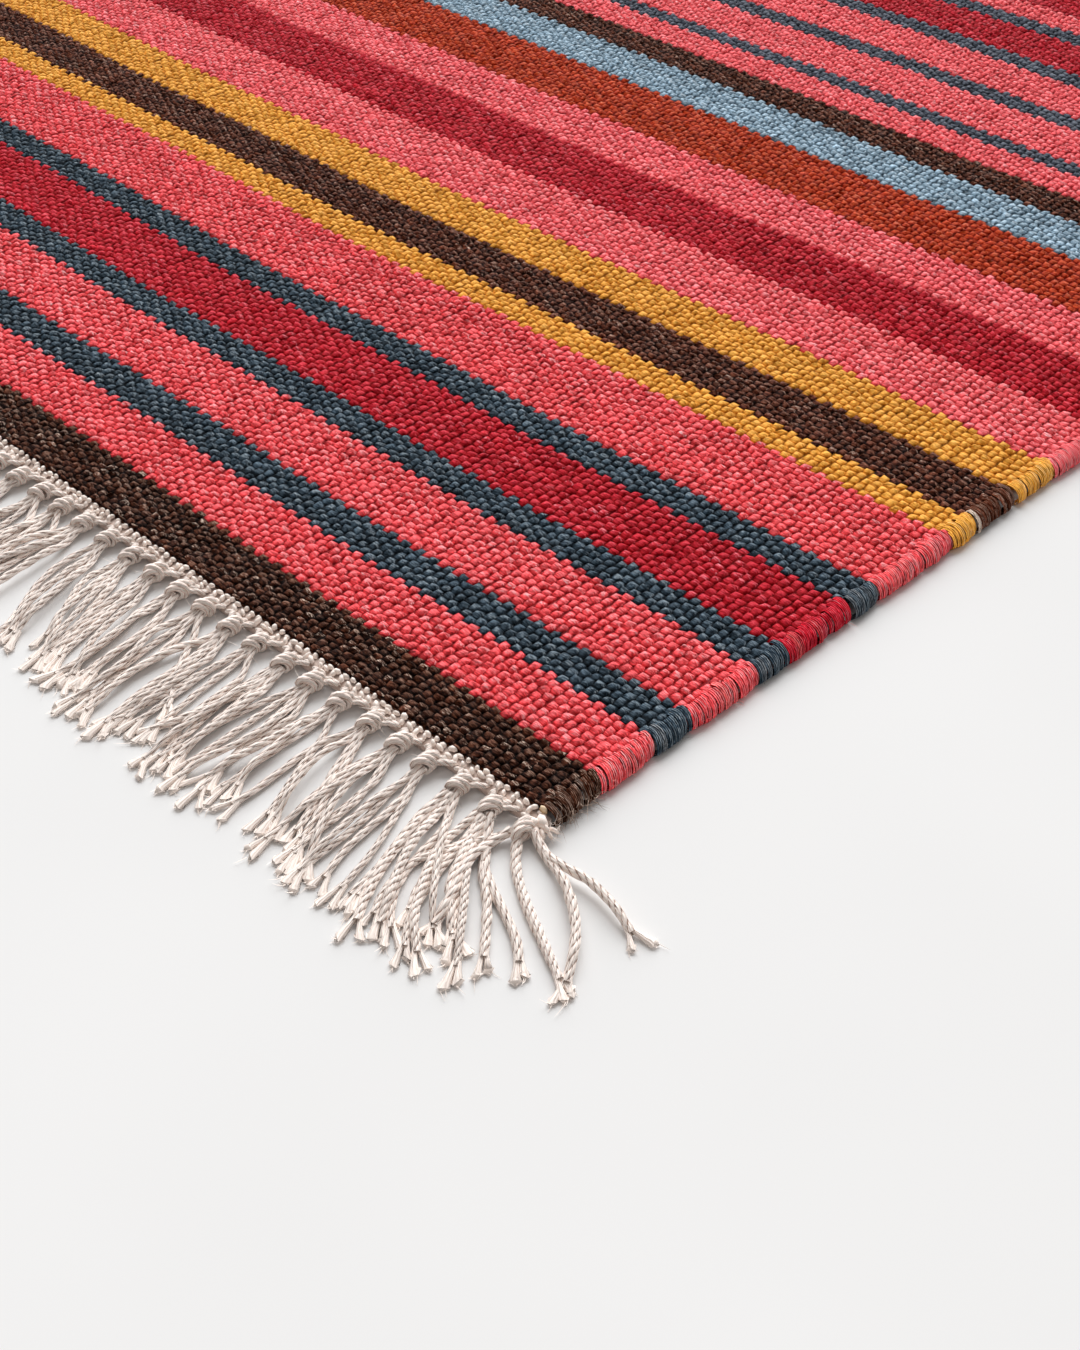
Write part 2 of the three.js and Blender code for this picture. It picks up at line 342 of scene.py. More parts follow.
def wool_material(name, along_wraps=False):
    """Dyed wool: bumps with painted light and a painted highlight on the crown and painted shade
    towards the rim, fine fibres and pale flecks.
    """
    net = Net(name)
    dye = net.attribute("dye", "Color")
    # the strength of the painted highlight, carried in the alpha of the dye
    painted_highlight = net.attribute("dye", "Alpha")
    u, v, pale = net.split(net.attribute("grain", "Vector"))
    coarse = net.attribute("grain", "Alpha")
    place = net.add("ShaderNodeTexCoord", output="Object")
    run = net.attribute("wrap", "Vector") if along_wraps else place

    def by_coarseness(least, more):
        return net.plus(least, net.times(coarse, more))

    fibre_size = WRAP_FIBRE_SIZE if along_wraps else FIBRE_SIZE
    fibre = net.noise(run, 2.0, fibre_size, by_coarseness(0.8, 0.7))
    clump = net.noise(place, 1.0, CLUMP_SIZE)
    rough_edge = net.times(net.math("SUBTRACT", clump, 0.5), by_coarseness(1.3, 1.3))
    # Painted shade: darker away from the lit crown, darkest in the corners between bumps, and the
    # dye deeper there
    painted_shade_depth = net.steps(net.plus(net.lump(u, v, *PAINTED_SHADE_MIDDLE), rough_edge), 0.0, 1.4)
    fall = net.times(painted_shade_depth, by_coarseness(0.3, 0.5))
    corner = net.times(net.math("ABSOLUTE", u), net.math("ABSOLUTE", v))
    painted_corner_shade = net.times(net.steps(corner, 0.3, 0.85), by_coarseness(0.2, 0.65))
    streak = net.times(net.steps(fibre, *FIBRE_RANGE, -0.5, 0.5), coarse)
    shade = net.times(net.math("SUBTRACT", PAINTED_CROWN_LIGHT, fall), net.math("SUBTRACT", 1.0, painted_corner_shade),
                      net.plus(1.0, streak))
    rim = net.times(net.lump(u, v, *RIM), -1.0)
    heights = [(rim, 0.0005), (fibre, 0.0006), (clump, 0.0004)]
    lit = net.steps(fibre, 0.42, 0.6, 0.1, 1.0)
    if along_wraps:
        across = net.times(net.split(run)[1], STRANDS * math.pi / 2 / MM)
        strand = net.math("ABSOLUTE", net.math("COSINE", net.plus(across, rough_edge)))
        heights.append((strand, 0.0003))
        # Painted shade in the grooves between strands and painted light on their tops, with the dye
        # deeper in the grooves
        shade = net.times(shade, net.steps(strand, 0.0, 0.7, 0.45, 1.2),
                          net.steps(fibre, *FIBRE_RANGE, 0.75, 1.25))
        painted_shade_depth = net.math("MAXIMUM", painted_shade_depth, net.steps(strand, 0.0, 0.7, 1.6, 0.0))
        strand_top = net.steps(strand, 0.35, 0.9)
        lit = net.times(lit, strand_top)
        frayed = net.times(net.steps(fibre, 0.5, 0.57), strand_top)
    else:
        frayed = net.steps(fibre, 0.53, 0.59)
    colour = net.gamma(dye, net.plus(1.0, net.times(painted_shade_depth, PAINTED_SHADE_POWER)))
    colour = net.shaded(colour, shade)
    # Painted highlight: a paler stroke of the dye on the lit side of each crown, where pale flecks
    # also show
    distance_from_highlight = net.plus(net.lump(u, v, *PAINTED_HIGHLIGHT_SPOT), rough_edge)
    painted_highlight_share = net.times(net.steps(distance_from_highlight, 0.0, 0.7, 1.5, 0.0), lit, painted_highlight)
    colour = net.blend(net.math("MINIMUM", painted_highlight_share, 1.0), colour, net.gamma(dye, PAINTED_HIGHLIGHT_POWER))
    fleck = net.times(frayed, pale, net.steps(distance_from_highlight, 0.2, 0.8, 1.0, 0.0))
    undyed = net.steps(coarse, 0.7, 1.0)
    tone = net.blend(undyed, net.gamma(dye, WASHED), (*linear(PALE), 1))
    return net.finish(
        net.blend(fleck, colour, tone), 0.68, heights,
        Sheen_Weight=0.01, Sheen_Roughness=0.4, Specular_IOR_Level=0.0 if along_wraps else 0.05,
    )


def cotton_material():
    """Undyed cotton: four strands with painted shade in brown between them, and fibres along the
    cord.
    """
    net = Net("cotton")
    turn, along, chance = net.split(net.attribute("ply", "Vector"))
    lay = net.attribute("ply", "Alpha")
    ply = net.ridges(turn, 4)
    strand = net.ridges(lay, 8)
    place = net.join(net.times(lay, 20.0), net.times(along, 0.3), net.times(chance, 40.0))
    fibre = net.noise(place, 3.0)
    rough_ply = net.plus(ply, net.steps(fibre, 0.3, 0.7, -0.15, 0.25))
    # Painted shade in the grooves between plies and strands, cream elsewhere
    unshaded_share = net.times(net.steps(rough_ply, 0.0, 0.5), net.steps(strand, 0.0, 0.5, 0.78, 1.0))
    tone = net.blend(unshaded_share, (*linear(PAINTED_GROOVE_SHADE), 1), (*linear(CREAM), 1))
    streak = net.steps(fibre, *FIBRE_RANGE, 0.97, 1.14)
    # Each cord a little lighter or darker at random; brushes and loose fibres have a chance above 1
    # and are painted lighter, as painted light
    each = net.steps(chance, 0.0, 2.0, 0.98, 1.18)
    return net.finish(
        net.shaded(tone, net.times(streak, each)), 0.6,
        [(ply, 0.0004), (strand, 0.00015), (fibre, 0.0002)],
        Sheen_Weight=0.2, Sheen_Roughness=0.5, Specular_IOR_Level=0.3,
    )


def floor_material():
    net = Net("floor")
    mottle = net.noise(net.add("ShaderNodeTexCoord", output="Object"), 2.0, scale=6.0)
    shade = net.steps(mottle, 0.3, 0.7, 0.83, 0.85)
    colour = net.join(shade, shade, shade)
    return net.finish(colour, 0.9, [(mottle, 0.00001)], Specular_IOR_Level=0.1)


WOOL = wool_material("wool")
WRAPPED_WOOL = wool_material("wrapped_wool", along_wraps=True)
COTTON = cotton_material()

# The weave

CELL = [(0, -1), (1, -1), (1, 1), (0, 1)]  # rib lines and picks of a bump's corners
CELL_PLAN = np.array([(-1, -1), (1, -1), (1, 1), (-1, 1), (-0.45, 0), (0.45, 0)])  # and its ridge
CELL_FACES = [(0, 1, 5), (0, 5, 4), (1, 2, 5), (2, 3, 4), (2, 4, 5), (3, 0, 4)]
BAND_PICKS = 95  # picks in a piece of the field, at least
RIB_WANDER, PICK_WANDER = 0.5, 0.35
RIB_PATCH, PICK_PATCH, DYE_PATCH = (9, 60), (30, 3), (26, 2)  # ribs and picks in a patch
CALM_SIDE, CALM_PICKS = 1 / 8, 6  # where the wander fades, in half widths and in picks
LOW_SHIFT_X, LOW_SHIFT_Y = 0.45, 0.58  # how far a low point strays, at most
LOW_DEPTH = (-0.35, 0.25)
TOP_SHIFT = [(-0.4, 0.4), (-0.4, 0.5), (-0.45, 0.3)]  # ranges along X, Y and Z
RIDGE_REACH = [(0.55, 1.0), (-0.5, 0.5), (-0.3, 0.3)]  # from a bump's top to an end of its ridge
SHADE_BY_PICK, SHADE_BY_PLACE, SHADE_BY_BUMP = 0.45, 0.9, 0.75
STREAKED_DYES, STREAKED_PICKS = ("pink", "rose"), 15  # stripes with pale yarn, at least so wide


def weave_lattice(rng):
    """The low points between the bumps, by rib line and pick."""
    line, pick = np.mgrid[:RIBS + 1, :PICKS + 1]
    share = 2 * line / RIBS - 1
    x = share * FIELD_HALF
    y = pick_line(x, pick.astype(float))
    to_side = np.clip((1 - np.abs(share)) / CALM_SIDE, 0, 1)
    to_end = np.minimum(pick, PICKS - pick)
    x += smooth_noise(rng, x.shape, RIB_PATCH) * RIB_WANDER * to_side
    y += smooth_noise(rng, x.shape, PICK_PATCH) * PICK_WANDER * np.clip(to_end / CALM_PICKS, 0, 1)
    x += rng.uniform(-LOW_SHIFT_X, LOW_SHIFT_X, x.shape)
    y += rng.uniform(-LOW_SHIFT_Y, LOW_SHIFT_Y, x.shape) * np.clip(to_end, 0, 1)
    return columns(x, y, VALLEY + rng.uniform(*LOW_DEPTH, x.shape))


def weave_colours(rng):
    """The dye of each bump, by rib and pick, and how pale its flecks are."""
    rows = np.append(PICK_DYES, PICK_DYES[-1])
    by_pick = rng.normal(0, 1, PICKS + 1) * SHADE_BY_PICK
    by_place = smooth_noise(rng, (RIBS, PICKS + 1), DYE_PATCH) * SHADE_BY_PLACE
    by_bump = rng.normal(0, 1, (RIBS, PICKS + 1)) * SHADE_BY_BUMP
    shade = np.exp(DYE_VARIES[rows] * (by_pick + by_place + by_bump))
    colours = DYE_COLOURS[rows] * shade[..., None]
    flecks = DYE_PALES[rows] * rng.uniform(0, 1, (RIBS, PICKS + 1)) ** 4
    return colours, np.maximum(flecks, streaks(rng))


def streaks(rng):
    """Pale stretches of yarn in the widest pink stripes."""
    pale = np.zeros((RIBS, PICKS + 1))
    for dye, start, end in RUNS:
        if dye in STREAKED_DYES and end - start >= STREAKED_PICKS:
            for pick in rng.integers(start + 2, end - 2, 2 + (end - start) // 3):
                reach = np.clip(2 * smooth_row(rng, RIBS, 20), 0, 1)
                pale[:, pick] = reach * rng.uniform(0, 1, RIBS) ** 0.8
    return pale


def weave():
    """The face of the cloth, a dome for each bump of the weft, in bands across the rug."""
    rng = np.random.default_rng(11)
    low = weave_lattice(rng)
    colours, flecks = weave_colours(rng)
    points, dyes, grains, faces, picks = [], [], [], [], []
    size = len(CELL_PLAN)
    count = 0
    for parity in (0, 1):
        rib, pick = np.mgrid[parity:RIBS:2, parity:PICKS + 1:2].reshape(2, -1)
        many = len(rib)
        corners = [low[rib + across, np.clip(pick + along, 0, PICKS)] for across, along in CELL]
        top = np.mean(corners, axis=0)
        top[:, 2] = CREST
        top += strewn(rng, TOP_SHIFT, many)
        reach = strewn(rng, RIDGE_REACH, many)
        points.append(np.stack([*corners, top - reach, top + reach], axis=1).reshape(-1, 3))
        dye = PICK_DYES[np.minimum(pick, PICKS - 1)]
        # the painted highlight of each bump, of random strength
        painted_highlight = DYE_PAINTED_HIGHLIGHTS[dye] * rng.uniform(0.1, 1.9, many)
        dyes.append(np.repeat(rgba(colours[rib, pick], painted_highlight), size, axis=0))
        fleck = flecks[rib, pick][:, None]
        grains.append(columns(*CELL_PLAN.T, fleck, DYE_COARSE[dye][:, None]).reshape(-1, 4))
        picks.append(pick)
        first = count + size * np.arange(many)
        faces.append((first[:, None, None] + np.array(CELL_FACES)).reshape(-1, 3))
        count += size * many
    points, dyes, grains, faces, picks = map(np.concatenate, (points, dyes, grains, faces, picks))
    pick_of_face = np.minimum(np.repeat(picks, size)[faces[:, 0]], PICKS - 1)
    bands = []
    start = 0
    for _, _, end in RUNS:
        if end - start >= BAND_PICKS or end == PICKS:
            mine = faces[(pick_of_face >= start) & (pick_of_face < end)]
            used, corners = np.unique(mine, return_inverse=True)
            traits = {"dye": dyes[used], "grain": grains[used]}
            name = f"weave_{len(bands) + 1}"
            bands.append(add_mesh(name, points[used], [corners.reshape(mine.shape)], WOOL, traits,
                                  plan=flat_plan(points[used])))
            start = end
    return bands


CORE_COLUMNS = 32


def core():
    """The body of the cloth under the bumps, with the stripes on its underside."""
    lines = np.linspace(-FIELD_HALF, FIELD_HALF, CORE_COLUMNS + 1)
    x, pick = np.meshgrid(lines, RUN_ENDS)
    y = pick_line(x, pick)
    points = np.concatenate([columns(x, y, z).reshape(-1, 3) for z in (CORE_TOP, 0.0)])
    count = x.size
    index = np.arange(count).reshape(x.shape)
    top = grid_faces(index)
    each = np.arange(len(RUNS))
    faces = [top, top[:, ::-1] + count]
    runs = [np.repeat(each, CORE_COLUMNS)] * 2
    edges = [
        (index[0, :-1], index[0, 1:], each[:1]), (index[-1, 1:], index[-1, :-1], each[-1:]),
        (index[1:, 0], index[:-1, 0], each), (index[:-1, -1], index[1:, -1], each),
    ]
    for start, end, run in edges:
        faces.append(columns(start, start + count, end + count, end))
        runs.append(np.broadcast_to(run, len(start)))
    dyes = DYE_COLOURS[RUN_DYES][np.concatenate(runs)]
    # The core takes one place on a bump's painted shade, near the crown, and a faint painted
    # highlight
    grain = np.tile([0.3, 0.3, 0.1, 0.4], (len(points), 1))
    plan = flat_plan(points)
    plan[:, 0] /= 2
    plan[count:, 0] += 0.5
    dyes = {"dye": rgba(dyes, 0.05)}
    return add_mesh("cloth_core", points, faces, WOOL, {"grain": grain}, dyes, plan)


# The selvedges

WRAP_RINGS = [(-0.08, 0.965), (0.5, 1.015), (1.08, 0.965)]  # share of a pick, and size
WRAP_SECTION = np.array([  # from its inner end over the top to below: in from the side, and height
    (9.6, 3.1), (8.9, 4.2), (7.4, 4.95), (5.3, 5.25), (3.2, 4.95),
    (1.5, 4.1), (0.5, 2.9), (0.45, 1.5), (1.6, 0.4), (3.6, 0.05),
])
WRAP_MIDDLE = np.array([4.8, 2.4])
WRAP_SLANT = 3.6
WRAP_TOP = 11.0  # along the section, where the slant ends
SLANT_POWER = 1.7
FIRM_PICKS = 9  # the slant is full from this pick on
LOBE = 0.7
PALE_WRAP, PALE_WRAP_SIZE, PALE_WRAP_WASH = 106, 1.12, 0.9  # a loose pale wrap on the right


def firmness(pick):
    """How far the wraps slant at the near end, as a share."""
    return np.clip((pick + 2) / FIRM_PICKS, 0, 1)


def selvedge(side, name, rng):
    """The edge where the weft turns back: a wrap for each pick, a lobe for each stripe."""
    place = np.concatenate([(np.arange(count) + 0.5) / count for count in RUN_SIZES])
    lobe = LOBE * (np.sin(np.pi * place) ** 0.5 - place + 0.5) - 0.5
    wander = 0.5 * smooth_row(rng, PICKS, 14) + lobe
    size = 1 + 0.08 * smooth_row(rng, PICKS, 2.6) + rng.uniform(-0.05, 0.05, PICKS)
    if side > 0:
        size[PALE_WRAP] = PALE_WRAP_SIZE
    along = sums(np.linalg.norm(np.diff(WRAP_SECTION, axis=0), axis=1))
    slant = WRAP_SLANT * np.clip(along / WRAP_TOP, 0, 1) ** SLANT_POWER
    shift = rng.normal(0, 0.3, PICKS)[:, None]
    slope = (rng.uniform(0.82, 1.18, PICKS) * firmness(np.arange(PICKS)))[:, None]
    inner = np.zeros((PICKS, len(WRAP_SECTION), 2))
    inner[:, :2, 0] = rng.uniform(-1.3, 0.9, (PICKS, 1))
    rings = []
    for share, swell in WRAP_RINGS:
        section = WRAP_MIDDLE + (WRAP_SECTION - WRAP_MIDDLE) * (size * swell)[:, None, None] + inner
        x = side * (HALF - section[..., 0] + wander[:, None])
        pick = (np.arange(PICKS) + share)[:, None]
        y = pick_line(x, pick) + shift - slant * slope
        rings.append(columns(x, y, np.maximum(section[..., 1], 0.02)))
    points = np.stack(rings, axis=1)
    steps = len(WRAP_SECTION)
    each = 3 * steps
    faces = grid_faces(np.arange(PICKS * each).reshape(PICKS, 3, steps))
    if side > 0:
        faces = faces[:, ::-1]
    shade = np.exp(DYE_VARIES[PICK_DYES] * rng.normal(0, 0.9, PICKS))[:, None]
    wash = (rng.uniform(0, 1, PICKS) ** 6 * 0.1)[:, None]
    if side > 0:
        wash[PALE_WRAP] = PALE_WRAP_WASH
    colours = DYE_COLOURS[PICK_DYES] * shade * (1 - wash) + linear(PALE) * wash
    fleck = (0.4 + 0.2 * DYE_PALES[PICK_DYES]) * rng.uniform(0, 1, PICKS) ** 1.2
    # the painted highlight of each wrap, of random strength
    painted_highlight = DYE_PAINTED_HIGHLIGHTS[PICK_DYES] * rng.uniform(0.8, 2.6, PICKS)
    ridge = np.array([-1, 0, 1.0])[:, None]
    turn = np.arange(PICKS)[:, None, None] * 2.0 + ridge
    fleck, coarse = fleck[:, None, None], DYE_COARSE[PICK_DYES][:, None, None]
    # The grain across each wrap places its painted shade, darker on the -Y side of the wrap
    grain = columns(np.zeros(steps), 0.6 * ridge, fleck, coarse)
    flat = points.reshape(-1, 3)
    around = np.tile(np.arange(steps) / (steps - 1), PICKS * 3)
    plan = inset(columns(around, flat[:, 1] / LENGTH + 0.5))
    traits = {"dye": np.repeat(rgba(colours, painted_highlight), each, axis=0), "grain": grain.reshape(-1, 4),
              "wrap": columns(along, turn, 0.0).reshape(-1, 3) * MM}
    return add_mesh(name, flat, [faces], WRAPPED_WOOL, traits, plan=np.clip(plan, 0, 1))


# The fringe, made as at the near end, out along -Y. The far one is turned round.

KNOTS = 60
KNOT_INSET = 5.4
KNOT_WANDER = 0.8
KNOT_OUT = 9.6
KNOT_END = 11.6
STRAND_LENGTH = 55.0
LENGTH_VARIES = 6.0
LEAN = 11.0
LEAN_WAVES = [(5.0, 190.0), (1.8, 97.0)]
CORNER_REACH = 30.0
CORNER_FAN = 66.0
CORNER_LENGTH = 0.12
CORD_RINGS = 31
CORD_SHARES = np.linspace(0, 1, CORD_RINGS)
CORD_RADIUS = 1.22
CORD_COUNTS = [4, 4, 4, 5, 5]  # cords of a knot, each as likely
CORD_BUNDLE, CORD_SPREAD = 3.6, (8.0, 14.0)  # width of its cords at a knot, and further out
KNOT_LEANS, CORD_LEANS, CORD_FAN, CORD_WIGGLE = 4.5, 8.5, 12.0, 7.0  # degrees
TWIST_PITCH = 20.0
PLY_ANGLES = np.radians([0, 60, 120, 180, 240, 300, 360])
PLY_TURNS = PLY_ANGLES / (2 * np.pi)
PLY_SWELL = 0.08
TUFT_LENGTH = 9.0
LAYERED, LAYER_RISE = 0.4, (1.2, 2.3)  # share of cords that lie over others, and how high
DROP_RUN, DROP = 13.0, 1.7  # how far out of a knot a cord is on the floor, and its fall

ENDS = {
    "near": {"turn": 0.0, "phase": 0.6, "seed": 3},
    "far": {"turn": math.pi, "phase": 2.9, "seed": 41},
}

# The cords of the near corner on the right: points from the corner of the cloth, X and Y
CORNER_CORDS = [
    [(-3, -6), (4, -8.5), (12, -10), (22, -9), (32, -10.5), (43, -13.5)],
    [(-2, -6.5), (7, -10), (14, -12.5), (21, -16), (30, -22.5), (36.5, -29.5), (43, -39)],
    [(-6, -9), (0, -16), (6, -21), (16, -27), (27, -32.5), (36, -37), (41, -39.5)],
    [(-17, -10), (-9, -19.5), (-3, -25), (4, -29), (13, -33), (22, -37.5), (29, -43)],
    [(-15, -12), (-8, -20), (-3, -26), (6, -33), (14, -41), (21, -48.5)],
    [(-18, -12), (-14, -21), (-10, -28), (-5, -36.5), (2, -43), (9, -49)],
    [(-18, -12), (-15, -22), (-14, -32), (-11, -42.5), (-6, -51)],
    [(-19, -12), (-8, -27), (4, -40), (13, -50), (18, -56)],
    [(-8, -10), (-9, -20), (-6, -31), (-1, -40), (3, -50)],
    [(-31, -12), (-28, -22), (-22.5, -37), (-14, -51), (-8, -60)],
    [(-33, -12), (-31, -25), (-25, -43), (-18, -57), (-13.5, -64)],
    [(-18, -12), (-15, -23), (-11, -37), (-5, -51), (3, -61)],
    [(-20, -12), (-19, -25), (-13, -38), (-3, -52), (7, -60)],
    [(-17, -12), (-12, -23), (-2, -37), (6, -45), (11, -50)],
    [(-7, -10), (-14, -22), (-19, -36), (-17, -50), (-12, -59)],
]
CORNER_KNOTS = 2
CORNER_THICK = 1.18


def scatter(index, seed):
    return math.sin(index * 12.9898 + seed * 78.233) * 43758.5453 % 1 * 2 - 1


def knot_places(end):
    reach = HALF - KNOT_INSET
    wander = [KNOT_WANDER * scatter(knot, end["seed"]) for knot in range(KNOTS)]
    wander[0] = wander[-1] = 0
    return -reach + 2 * reach * np.arange(KNOTS) / (KNOTS - 1) + wander


def corner_share(x):
    """How near x is to a corner, from 0 to 1 at the side of the cloth."""
    return max(0.0, abs(x) - HALF + CORNER_REACH) / CORNER_REACH


def lean_at(x, end):
    """The lie of the fringe at x, in degrees from straight out, positive towards +X."""
    lean = LEAN + sum(size * math.sin(2 * math.pi * x / length + end["phase"])
                      for size, length in LEAN_WAVES)
    corner = corner_share(x)
    return lean * (1 - corner / 2) + math.copysign(CORNER_FAN, x) * corner ** 1.5


def turned(points, end):
    c, s = math.cos(end["turn"]), math.sin(end["turn"])
    x, y, z = np.moveaxis(points, -1, 0)
    return columns(c * x - s * y, s * x + c * y, z)


def unit(vectors):
    return vectors / np.linalg.norm(vectors, axis=-1, keepdims=True)


def tubes(centre, across, up, angles, radii, squash=1.0):
    """Rings round many paths, with a radius for each ring or point."""
    side = np.cos(angles) * radii
    rise = np.sin(angles) * radii * squash
    return (centre[..., None, :] + side[..., None] * across[..., None, :]
            + rise[..., None] * up[..., None, :])


def tube_faces(paths, rings, around, first=0):
    return grid_faces(first + np.arange(paths * rings * around).reshape(paths, rings, around))


def path_axes(centre):
    """Directions along, across and up at each point of many paths."""
    along = unit(np.gradient(centre, axis=1))
    across = unit(columns(-along[..., 1], along[..., 0], 0.0))
    return along, across, np.cross(along, across)


def cord_by_hand(points):
    """A smooth cord through a few points from the corner, and its length."""
    points = np.array(points) + CORNER[:2]
    fine = np.linspace(0, len(points) - 1, 12 * len(points))
    padded = np.vstack([2 * points[0] - points[1], points, 2 * points[-1] - points[-2]])
    cell = np.minimum(fine.astype(int), len(points) - 2)
    t = (fine - cell)[:, None]
    a, b, c, d = (padded[cell + i] for i in range(4))
    curve = 0.5 * (2 * b + (c - a) * t + (2 * a - 5 * b + 4 * c - d) * t ** 2
                   + (3 * b - a - 3 * c + d) * t ** 3)
    run = sums(np.linalg.norm(np.diff(curve, axis=0), axis=1))
    even = CORD_SHARES * run[-1]
    return columns(*(np.interp(even, run, values) for values in curve.T)), run[-1]


def knot_cord(x, y, place, knot_lean, end, rng):
    """The lie of a cord of a knot, whose place among them is from -0.5 to 0.5."""
    spread = place * rng.uniform(*CORD_SPREAD)
    lean = lean_at(x + spread, end) + knot_lean + CORD_FAN * place + rng.normal(0, CORD_LEANS)
    length = STRAND_LENGTH + LENGTH_VARIES * rng.uniform(-1, 1) - TUFT_LENGTH * 0.6
    length *= 1 + CORNER_LENGTH * corner_share(x)
    wiggle = rng.normal(0, CORD_WIGGLE) * np.sin(
        np.pi * (CORD_SHARES * rng.uniform(1.2, 2.4) + rng.uniform(0, 2)))
    angle = np.radians(lean * (0.7 + 0.6 * CORD_SHARES) + wiggle)
    step = length / (CORD_RINGS - 1)
    across = sums(np.sin(angle)[:-1] * step)
    out = sums(np.cos(angle)[:-1] * step)
    parted = eased(CORD_SHARES / 0.3)
    offset = place * CORD_BUNDLE * (1 - parted) + spread * parted
    return columns(x + across + offset * np.cos(angle[0]), y - out), length


def cord_paths(end, corner, rng):
    """The middle line of each cord, on the floor or over its neighbours."""
    made = []
    for x in knot_places(end)[:-CORNER_KNOTS if corner else None]:
        y = -end_line(x) - KNOT_END
        count = int(rng.choice(CORD_COUNTS))
        knot_lean = rng.normal(0, KNOT_LEANS)
        for cord in range(count):
            made.append(knot_cord(x, y, (cord + 0.5) / count - 0.5, knot_lean, end, rng))
    by_hand = [cord_by_hand(points) for points in CORNER_CORDS] if corner else []
    thick = np.repeat([1.0, CORNER_THICK], [len(made), len(by_hand)])
    flat, lengths = (np.array(rows) for rows in zip(*made, *by_hand))
    over = rng.uniform(0, 1, len(flat)) < LAYERED
    layer = over * rng.uniform(*LAYER_RISE, len(flat))
    rise = np.clip((CORD_SHARES - 0.12) / 0.25, 0, 1) * np.clip((1 - CORD_SHARES) / 0.2, 0, 1)
    drop = np.clip(1 - CORD_SHARES * lengths[:, None] / DROP_RUN, 0, 1) ** 2 * DROP
    height = CORD_RADIUS * 0.96 + drop + layer[:, None] * eased(rise)
    return columns(flat[..., 0], flat[..., 1], height), lengths, thick


def cords(label, end, corner, rng):
    """The twisted cords of one end, and the tufts that they end in."""
    centre, lengths, thick = cord_paths(end, corner, rng)
    along, across, up = path_axes(centre)
    count = len(centre)
    run = CORD_SHARES * lengths[:, None]
    rate = rng.uniform(0.8, 1.2, count) * (1 + 0.4 * (thick > 1))
    twist = run / TWIST_PITCH * rate[:, None] + rng.uniform(0, 1, count)[:, None]
    size = CORD_RADIUS * (thick * rng.uniform(0.86, 1.1, count))[:, None]
    size = size * (1 - 0.12 * CORD_SHARES ** 4)
    size *= 1 + 0.09 * smooth_noise(rng, run.shape, (1, 1.8))
    turn = PLY_TURNS - twist[..., None]
    radii = (1 + PLY_SWELL * np.cos(4 * np.pi * turn)) * size[..., None]
    points = tubes(centre, across, up, PLY_ANGLES, radii)
    points[..., 2] = np.maximum(points[..., 2], 0.05)
    chance = rng.uniform(0, 1, count)
    ply = columns(turn, run[..., None], chance[:, None, None], PLY_TURNS)
    faces = tube_faces(count, CORD_RINGS, len(PLY_ANGLES))
    add_cotton(f"cords_{label}", end, points, [faces], ply)
    tufts(label, end, centre[:, -1], along[:, -1], chance, rng)


BRUSH_SHARES = np.array([0.0, 0.38, 0.75, 1.0])
BRUSH_SIZES = np.array([0.85, 0.95, 1.5, 1.95])
BRUSH_SQUASH = np.array([1.0, 0.9, 0.6, 0.22])[:, None]
BRUSH_OVERLAP = 1.8
BRUSH_PART, BRUSH_BEND = (3, 17), (-8, 16)  # degrees
BRUSH_LENGTHS, BRUSH_ENDS = (0.7, 1.15), (-1.5, 0.9)  # length against others, and ragged end
BRUSH_ROUNDING = 1.6  # how far the sides of a brush end before its middle
SIX_TURNS = np.arange(6) / 5
SIX_ANGLES = np.radians([-90, -18, 54, 126, 198, 270])  # round a tube, with its seam below
WISPS = 3  # loose fibres at each brush
WISP_THICK = 1.7
# A chance above 1 paints the loose fibres lighter, as painted light
WISP_CHANCE = 1.5
MOSTLY_FLAT = (1, 1, 0.1)


